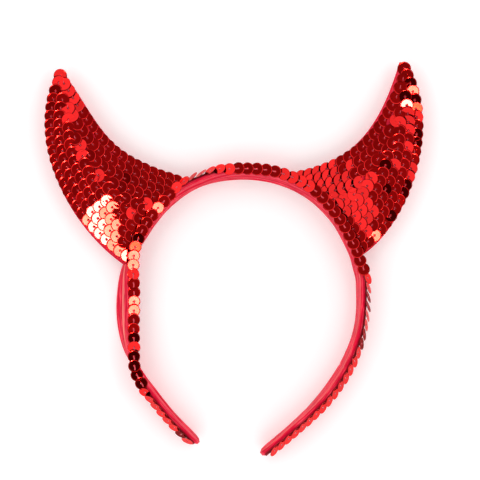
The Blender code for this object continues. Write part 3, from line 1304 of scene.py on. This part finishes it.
def stitch_tubes(name: str, places: Sequence[SequinPlace], radius: float, reach: float,
                 material: Material) -> Item:
    """Make the short stitches that run out of the sequins' holes.

    Args:
        name: the piece's name.
        places: the sequins.
        radius: half the width of the flat double thread.
        reach: how far a stitch runs from the hole toward the covered edge.
        material: the thread's finish.

    Returns:
        One mesh of bent tubes.
    """
    sides = 6
    sway = 0.10
    sway_turns = 5.0
    flatness = 0.45
    turned_width = 1.6
    turned_back = 0.36
    # share of the reach, and height over the sequin
    path = ((-0.20, -0.15), (-0.12, 0.08), (0.45, 0.22), (0.8, 0.20), (1.0, 0.08))
    points = []
    faces = []
    for place in places:
        matrix = place.matrix()
        turned = place.stitch < 1
        wide, back = (radius * turned_width, turned_back) if turned else (radius, 0.0)
        start = len(points)
        length = reach * place.stitch
        for share, lift in path:
            centre = Vector((share * length - back, sway * math.sin(share * sway_turns), lift))
            for k in range(sides):
                angle = 2 * math.pi * k / sides
                ring = Vector((0.0, math.cos(angle) * wide, math.sin(angle) * radius * flatness))
                points.append(matrix @ (centre + ring))
        faces += tube_faces(len(path), sides, start)
    return mesh_object(name, points, faces, material)


@dataclass(frozen=True)
class HornPlan:
    """What differs between the horns: two cubic edges from band to tip, lanes and patches."""

    inner: tuple[tuple[float, float], ...]
    outer: tuple[tuple[float, float], ...]
    inner_margins: tuple[float, float]
    patches: tuple[GlowPatch, ...]


class Side(Enum):
    """The two horns, by the side they are on in the front view."""

    LEFT = HornPlan(((-21.5, 39.5), (-63.0, 49.0), (-62.5, 62.0), (-83.3, 91.3)),
                    ((-54.5, -3.5), (-82.0, 16.5), (-102.5, 60.0), (-84.6, 91.2)),
                    (3.0, 3.2), LEFT_PATCHES)
    RIGHT = HornPlan(((28.5, 41.5), (60.0, 47.0), (71.5, 65.0), (80.6, 95.0)),
                     ((64.0, 1.0), (85.5, 14.5), (102.5, 66.0), (83.6, 94.6)),
                     (2.9, 4.3), RIGHT_PATCHES)


@dataclass
class PaddedHorn:
    """The stuffed cloth body of one horn, with the seam round it."""

    side: Side
    curve: BandCurve
    seam_height: float = 5.0
    seam_thickness: float = 1.5
    front_bulge: float = 4.6
    back_bulge: float = 6.0
    base_share: float = 0.5
    base_reach: float = 0.3
    full_width: float = 24.0
    crown_power: float = 2.6
    cloth_lift: float = 1.6
    cloth_sink: float = 0.3
    cloth_rim: tuple[float, float] = (0.25, 1.9)
    gather_height: float = 0.14
    gather_place: float = 1.6
    gather_width: float = 2.2
    gather_turns: float = 2.1
    dent_height: float = 0.35
    dent_size: float = 11.0
    dent_rim: tuple[float, float] = (1.0, 6.0)
    back_softness: float = 0.6
    flat_softness: float = 0.25
    # Points of the body's mesh
    across: int = 60
    lengthwise: int = 120
    probe: float = 0.01
    base_start: float = field(init=False)
    base_end: float = field(init=False)

    def __post_init__(self) -> None:
        """Find where the horn's base meets the band."""
        self.base_start = self.curve.nearest(self.side.value.inner[0])
        self.base_end = self.curve.nearest(self.side.value.outer[0])

    @property
    def name(self) -> str:
        """The horn's plain name."""
        return "horn_" + self.side.name.lower()

    @staticmethod
    def bezier(points: Sequence[tuple[float, float]], t: float) -> Vector:
        """Return a point of a cubic curve.

        Args:
            points: the curve's four points.
            t: share of the way along.

        Returns:
            The point's x and y.
        """
        s = 1 - t
        weights = (s**3, 3 * s**2 * t, 3 * s * t**2, t**3)
        return Vector((sum(w * p[0] for w, p in zip(weights, points)),
                       sum(w * p[1] for w, p in zip(weights, points))))

    def width(self, v: float) -> float:
        """Return the horn's width across a section."""
        edges = self.side.value
        return (self.bezier(edges.outer, v) - self.bezier(edges.inner, v)).length

    def plan(self, u: float, v: float, height: float) -> Vector:
        """Return a point of the XY plane: u from inner to outer edge, v from band to tip.

        Args:
            u: share of the way from the inner to the outer edge.
            v: share of the way from the band to the tip.
            height: millimetres above the floor.

        Returns:
            The point's x and y.
        """
        edges = self.side.value
        reach = self.base_end - self.base_start
        base_0 = self.curve.side(self.base_start, height)
        base_1 = self.curve.side(self.base_end, height)
        base_u = self.curve.side(self.base_start + reach * u, height)
        fade = (1 - v) ** 3
        inner = self.bezier(edges.inner, v) + (base_0 - Vector(edges.inner[0])) * fade
        outer = self.bezier(edges.outer, v) + (base_1 - Vector(edges.outer[0])) * fade
        chord = base_0 + (base_1 - base_0) * u
        return inner + (outer - inner) * u + (base_u - chord) * (1 - v) ** 2

    def fullness(self, u: float, v: float, power: float) -> float:
        """Return the share of the full bulge, without the taper toward the band."""
        return (1 - abs(2 * u - 1) ** power) * min(1.0, self.width(v) / self.full_width)

    def front_height(self, u: float, v: float) -> float:
        """Return the height of the pad's front, under its sequin cloth.

        Args:
            u: share of the way from the inner to the outer edge.
            v: share of the way from the band to the tip.

        Returns:
            Millimetres above the floor.
        """
        reach = blend_between(0.0, 1.0, min(1.0, v / self.base_reach))
        taper = self.base_share + (1 - self.base_share) * reach
        bulge = self.front_bulge * self.fullness(u, v, self.crown_power) * taper
        return self.seam_height + self.seam_thickness / 2 + bulge

    def back_height(self, u: float, v: float) -> float:
        """Return the height of the pad's back, which the floor flattens."""
        bulge = self.back_bulge * self.fullness(u, v, self.crown_power)
        return max(0.0, self.seam_height - self.seam_thickness / 2 - bulge)

    def front_point(self, u: float, v: float, lift: float = 0.0) -> Vector:
        """Return a point of the front, or a lift above it."""
        height = self.front_height(u, v) + lift
        return Vector((*self.plan(u, v, height), height))

    def front_ways(self, u: float, v: float) -> tuple[Vector, Vector, Vector]:
        """Return the ways to the tip and to the outer edge, and the normal, at a front point.

        Args:
            u: share of the way from the inner to the outer edge.
            v: share of the way from the band to the tip.

        Returns:
            Three unit vectors.
        """
        low, high = max(v - self.probe, 0.0), min(v + self.probe, 1.0)
        along = self.front_point(u, high) - self.front_point(u, low)
        across = self.front_point(u + self.probe, v) - self.front_point(u - self.probe, v)
        normal = along.cross(across)
        if normal.z < 0:
            normal.negate()
        return along.normalized(), across.normalized(), normal.normalized()

    def from_edge(self, u: float, v: float) -> float:
        """Return the distance across the section from the nearer edge."""
        return min(u, 1 - u) * max(self.width(v), 1.0)

    def rim_share(self, u: float, v: float) -> float:
        """Return 0 on the seam and 1 where the sequin cloth has its full height."""
        return blend_between(*self.cloth_rim, self.from_edge(u, v))

    def pucker(self, u: float, v: float, face: float) -> float:
        """Return the small gathers beside the seam and the soft dents of the stuffing.

        Args:
            u: share of the way from the inner to the outer edge.
            v: share of the way from the band to the tip.
            face: 1 for the front and -1 for the back.

        Returns:
            Millimetres, upward where positive.
        """
        from_edge = self.from_edge(u, v)
        place = self.plan(u, v, self.seam_height)
        waver = noise.noise((place.x / 4, place.y / 4, face)) * 4
        gather = math.sin(place.length * self.gather_turns + waver)
        off = from_edge - self.gather_place
        gather *= self.gather_height * math.exp(-(off / self.gather_width) ** 2)
        dent = noise.noise((place.x / self.dent_size, place.y / self.dent_size, face * 3.0))
        return gather + dent * self.dent_height * blend_between(*self.dent_rim, from_edge)

    def build(self, material: Material) -> Item:
        """Return the stuffed cloth body, with its seam rim.

        Args:
            material: the finish.

        Returns:
            The body, as one closed mesh.
        """
        rows = self.lengthwise + 1
        columns = self.across + 1
        top = np.zeros((rows, columns, 3))
        bottom = np.zeros((rows, columns, 3))
        for i in range(rows):
            v = i / self.lengthwise
            for j in range(columns):
                u = 0.5 - 0.5 * math.cos(math.pi * j / self.across)
                lift = (self.cloth_lift - self.cloth_sink) * self.rim_share(u, v)
                front = self.front_point(u, v, lift)
                front.z += self.pucker(u, v, 1.0) * self.rim_share(u, v)
                top[i, j] = front
                height = self.back_height(u, v)
                back = Vector((*self.plan(u, v, height), height))
                soft = self.pucker(u, v, -1.0) * self.rim_share(u, v)
                share = self.back_softness if height > 0 else self.flat_softness
                back.z = max(0.0, back.z + soft * share)
                bottom[i, j] = back
        return self.join_slab(self.name + "_body", top, bottom, material)

    @staticmethod
    def join_slab(name: str, top: np.ndarray, bottom: np.ndarray,
                  material: Material) -> Item:
        """Return a closed mesh between two grids of points.

        Args:
            name: the piece's name.
            top: the front's points.
            bottom: the back's points.
            material: the finish.

        Returns:
            The mesh, with its faces turned outward.
        """
        rows, columns = top.shape[:2]
        points = np.concatenate((top.reshape(-1, 3), bottom.reshape(-1, 3)))
        under = rows * columns
        faces = []
        for i in range(rows - 1):
            for j in range(columns - 1):
                a = i * columns + j
                quad = (a, a + 1, a + columns + 1, a + columns)
                faces.append(quad)
                faces.append(tuple(under + index for index in reversed(quad)))
        border = [(0, j) for j in range(columns)]
        border += [(i, columns - 1) for i in range(1, rows)]
        border += [(rows - 1, j) for j in range(columns - 2, -1, -1)]
        border += [(i, 0) for i in range(rows - 2, 0, -1)]
        for (i, j), (m, n) in zip(border, border[1:] + border[:1]):
            a, b = i * columns + j, m * columns + n
            faces.append((b, a, under + a, under + b))
        made = mesh_object(name, points, faces, material)
        bm = bmesh.new()
        bm.from_mesh(made.data)
        bmesh.ops.recalc_face_normals(bm, faces=bm.faces)
        bm.to_mesh(made.data)
        bm.free()
        return made


class Lane(Enum):
    """The two kinds of sequin lanes of a horn, by the edge that they follow."""

    OUTER = "outer"
    INNER = "inner"


@dataclass
class SequinField:
    """The overlapping sequins on the front of one horn, and their stitches."""

    horn: PaddedHorn
    shape: SequinShape
    mirror: Mirror
    # Lanes of sequins
    lane_spacing: float = 4.7
    pitch: float = 4.05
    outer_margins: tuple[float, float] = (4.3, 3.3)
    lane_gap: float = 2.7
    most_lanes: int = 9
    lane_steps: int = 420
    even_start: float = 0.95
    odd_start: float = 0.5
    split: float = 0.56
    base_margin: float = 0.8
    base_height: float = 8.0
    base_overrun: float = 0.1
    base_steps: int = 160
    tip_margin: float = 3.1
    tip_clear: float = 0.85
    tip_step: float = 0.002
    # How each sequin lies: its size, its leans in degrees and its height over the cloth
    sequin_size: float = 1.08
    slope_share: float = 0.25
    red_slope_share: float = 0.25
    middle_lean: float = 2.6
    rise: float = 0.16
    lane_rise: float = 0.07
    glow_rise: float = 0.15
    rise_spread: tuple[float, float] = (-0.03, 0.04)
    tones: tuple[float, float] = (0.2, 1.0)
    sizes: tuple[float, float] = (0.985, 1.02)
    stitch_radius: float = 0.17
    stitch_reach: float = 1.35
    base_line: np.ndarray = field(init=False)

    def __post_init__(self) -> None:
        """Find the line along the side of the band that the sequins keep clear of."""
        curve = self.horn.curve
        reach = self.horn.base_end - self.horn.base_start
        spread = 1 + 2 * self.base_overrun
        places = [self.horn.base_start + reach * (k / self.base_steps * spread - self.base_overrun)
                  for k in range(self.base_steps + 1)]
        self.base_line = np.array([tuple(curve.side(d, self.base_height)) for d in places])

    def base_distance(self, point: Vector) -> float:
        """Return the distance from a point of the front to the side of the band."""
        gaps = self.base_line - np.array((point.x, point.y))
        return float(np.sqrt((gaps ** 2).sum(axis=1)).min())

    def lane_place(self, lane: Lane, index: int, v: float) -> float | None:
        """Return where a lane crosses a section, as u, or None where it has ended.

        Args:
            lane: which edge the lane follows.
            index: the lane's number, from that edge.
            v: share of the way from the band to the tip.

        Returns:
            The place, or None.
        """
        width = self.horn.width(v)
        outer_first = self.outer_margins[0] + (self.outer_margins[1] - self.outer_margins[0]) * v
        inner_margins = self.horn.side.value.inner_margins
        inner_first = inner_margins[0] + (inner_margins[1] - inner_margins[0]) * v
        if lane is Lane.OUTER:
            offset = outer_first + self.lane_spacing * index
            if index and offset > self.split * width:
                return None
            return 1 - offset / width if offset < width else None
        count = max(0, int((self.split * width - outer_first) / self.lane_spacing))
        last = outer_first + self.lane_spacing * count
        offset = inner_first + self.lane_spacing * index
        if width - offset - last < self.lane_gap:
            return None
        return offset / width

    def sequin_places(self) -> list[SequinPlace]:
        """Return the field's sequins: lanes along both edges that meet in the middle.

        Returns:
            The sequins, lane by lane, after the one at the tip.
        """
        tip = self.horn.front_point(0.5, 1.0, self.horn.cloth_lift)
        found = []
        v = 1.0
        while (self.horn.front_point(0.5, v, self.horn.cloth_lift) - tip).length < self.tip_margin:
            v -= self.tip_step
        found.append(self.sequin_at(Lane.OUTER, 0, 0.5, v))
        start = v
        for lane in Lane:
            for index in range(self.most_lanes):
                travelled = self.pitch * (self.odd_start if index % 2 else self.even_start)
                last = None
                for k in range(self.lane_steps + 1):
                    v = start * (1 - k / self.lane_steps)
                    u = self.lane_place(lane, index, v)
                    if u is None:
                        last = None
                        continue
                    point = self.horn.front_point(u, v, self.horn.cloth_lift)
                    if last is not None:
                        travelled += (point - last).length
                    last = point
                    from_tip = (point - found[0].centre).length
                    clear = (self.base_distance(point) >= self.base_margin
                             and from_tip >= self.pitch * self.tip_clear)
                    if travelled >= self.pitch and clear:
                        travelled = 0.0
                        found.append(self.sequin_at(lane, index, u, v))
        return found

    def sequin_at(self, lane: Lane, index: int, u: float, v: float) -> SequinPlace:
        """Return one sequin of the field.

        Args:
            lane: which edge the lane follows.
            index: the lane's number, from that edge.
            u: share of the way from the inner to the outer edge.
            v: share of the way from the band to the tip.

        Returns:
            Its place, facing, tone and size.
        """
        along, across, normal = self.horn.front_ways(u, v)
        centre = self.horn.front_point(u, v, self.horn.cloth_lift)
        covered = -along if lane is Lane.OUTER else along
        inward = -across if lane is Lane.OUTER else across
        slope = Vector((normal.x, normal.y, 0.0)) * math.degrees(1.0) * self.slope_share
        level = Vector((covered.x, covered.y, 0.0)).normalized() * self.mirror.plain_lean
        middle = Vector((inward.x, inward.y, 0.0)).normalized() * self.middle_lean
        glow = glow_at(self.horn.side.value.patches, centre)
        if glow is Glow.RED:
            slope = slope * self.red_slope_share
        facing = self.mirror.aim(glow, centre, level + middle + slope)
        rng = self.mirror.rng
        rise = self.rise + self.lane_rise * index + rng.uniform(*self.rise_spread)
        if glow is not Glow.PLAIN:
            rise += self.glow_rise
        tone = rng.uniform(*self.tones)
        size = self.sequin_size * rng.uniform(*self.sizes)
        return SequinPlace(centre + UP * rise, covered, facing, tone, size)

    def build(self, sequin: Material, thread: Material) -> list[Item]:
        """Return the horn's sequins and their stitches.

        Args:
            sequin: the sequins' finish.
            thread: the stitches' finish.

        Returns:
            The two pieces.
        """
        places = self.sequin_places()
        sequins = self.shape.scatter(self.horn.name + "_sequins", places, sequin)
        stitches = stitch_tubes(self.horn.name + "_stitches", places, self.stitch_radius,
                                self.stitch_reach, thread)
        LOG.info("%s has %d sequins", self.horn.name, len(places))
        return [sequins, stitches]


@dataclass
class Studio:
    """Floor, soft light and the camera above the headband."""

    frame_width: float = 232.3
    view_x: float = 3.15
    view_y: float = 8.7
    view_height: float = 900.0
    look_height: float = 8.0
    sensor: float = 36.0
    levels: tuple[tuple[float, float], ...] = (
        # degrees from straight overhead, and the surround's brightness there
        (0.0, 0.02), (5.5, 0.02), (9.0, 0.26), (23.5, 0.30), (27.5, 1.20), (48.0, 1.30),
        (58.0, 1.20), (90.0, 2.00),
    )
    dim_tint: Colour = (1.0, 0.38, 0.38)
    dim_below: float = 0.5
    lamp_zenith: float = math.radians(25.0)
    lamp_azimuth: float = math.radians(288.0)
    lamps: tuple[tuple[float, float, Colour], ...] = (
        # size, radiance and colour of the strong lamp's core and of the soft glow round it
        (120.0, 42.0, (1.0, 0.88, 0.84)), (198.0, 25.0, (1.0, 0.62, 0.48)),
        (242.0, 15.0, (1.0, 0.62, 0.10)),
    )
    lamp_distance: float = 1500.0
    lamp_step: float = 0.002
    floor_size: float = 8.0

    def eye(self) -> Vector:
        """Return the camera's place in the drawing."""
        return Vector((self.view_x, self.view_y, self.view_height))

    def lamp(self) -> Vector:
        """Return the lamp's place in the drawing.

        Returns:
            A point of the drawing.
        """
        flat = math.sin(self.lamp_zenith)
        way = Vector((math.cos(self.lamp_azimuth) * flat, math.sin(self.lamp_azimuth) * flat,
                      math.cos(self.lamp_zenith)))
        return ORIGIN + way * self.lamp_distance

    def camera(self) -> None:
        """Place the camera straight above, with the photograph's frame."""
        data = bpy.data.cameras.new("camera")
        data.sensor_width = self.sensor
        data.lens = self.sensor * (self.view_height - self.look_height) / self.frame_width
        item = place_item("camera", data)
        item.location = (self.eye() - ORIGIN) * MM
        bpy.context.scene.camera = item

    def sky(self) -> None:
        """Make the surround: bright all round and dim overhead, where the camera hangs."""
        world = bpy.data.worlds.new("surround")
        bpy.context.scene.world = world
        world.use_nodes = True
        graph = Graph(world.node_tree)
        where = graph.out(graph.node("ShaderNodeTexCoord"), "Generated")
        split = graph.node("ShaderNodeSeparateXYZ", None, {0: where})
        angle = graph.out(split, "Z").math("ARCCOSINE", 0.0) * (2.0 / math.pi)
        stops = []
        for degrees, level in self.levels:
            tint = self.dim_tint if level < self.dim_below else (1.0, 1.0, 1.0)
            stops.append((degrees / 90.0, tuple(level * part for part in tint)))
        ramp = graph.node("ShaderNodeValToRGB", {"stops": stops}, {"Fac": angle})
        back = graph.node("ShaderNodeBackground", None,
                          {"Color": graph.out(ramp, "Color"), "Strength": 1.0})
        output = graph.node("ShaderNodeOutputWorld")
        graph.tree.links.new(back.outputs[0], output.inputs["Surface"])

    def softbox(self) -> None:
        """Add the strong light that the palest sequins mirror, with its softer surround."""
        for number, (size, radiance, colour) in enumerate(self.lamps):
            data = bpy.data.lights.new(f"softbox_{number}", "AREA")
            data.shape = "DISK"
            data.size = size * MM
            data.energy = radiance * math.pi * math.pi * data.size ** 2 / 4
            data.color = colour
            item = place_item(f"softbox_{number}", data)
            item.location = (self.lamp() - ORIGIN) * MM * (1 + self.lamp_step * number)
            item.rotation_mode = "QUATERNION"
            item.rotation_quaternion = item.location.to_track_quat("Z", "Y")
            item.visible_diffuse = False

    def floor(self, material: Material) -> None:
        """Lay the floor under the headband.

        Args:
            material: the finish.
        """
        bm = bmesh.new()
        bmesh.ops.create_grid(bm, x_segments=4, y_segments=4, size=self.floor_size / 2)
        mesh = bpy.data.meshes.new("floor")
        bm.to_mesh(mesh)
        bm.free()
        mesh.materials.append(material)
        item = place_item("floor", mesh)

    def build(self, floor_material: Material) -> None:
        """Set the stage.

        Args:
            floor_material: the floor's finish.
        """
        self.camera()
        self.sky()
        self.softbox()
        self.floor(floor_material)
        bpy.context.scene.view_settings.view_transform = "Standard"


def report(pieces: Sequence[Item]) -> None:
    """Ride pieces on the frame's body and log their size.

    Args:
        pieces: the pieces.
    """
    for piece in pieces:
        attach(piece, BODY)
        piece.data.calc_loop_triangles()
        LOG.info("%s: %d triangles", piece.name, len(piece.data.loop_triangles))


def main() -> None:
    """Build the headband piece by piece."""
    logging.basicConfig(level=logging.INFO, format="%(name)s: %(message)s")
    studio = Studio()
    studio.build(FloorFinish().material())
    mirror = Mirror(studio.eye(), studio.lamp())
    satin = SatinFinish().material()
    sequin = SequinFinish().material()
    cloth = ClothFinish().material()
    # The tape's near-black red is partly its own colour and partly painted shade under the sequins
    tape = ClothFinish(name="tape_painted_shade", shade=(0.16, 0.0, 0.004),
                       bright=(0.28, 0.001, 0.01)).material()
    thread = ThreadFinish().material()
    curve = BandCurve()
    shape = SequinShape()

    band = SatinBand(curve).build(satin)
    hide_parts("headband")
    report([band])

    string, stitches, ribbon = SequinString(curve, shape, mirror).build(sequin, thread, tape)
    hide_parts("sequin_trim")
    report([string, stitches])
    report([ribbon])

    for side in Side:
        horn = PaddedHorn(side, curve)
        body = horn.build(cloth)
        sequins, stitches = SequinField(horn, shape, mirror).build(sequin, thread)
        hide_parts(horn.name)
        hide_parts("horn_sequins_" + side.name.lower())
        report([body])
        report([sequins, stitches])


if __name__ == "__main__":
    main()
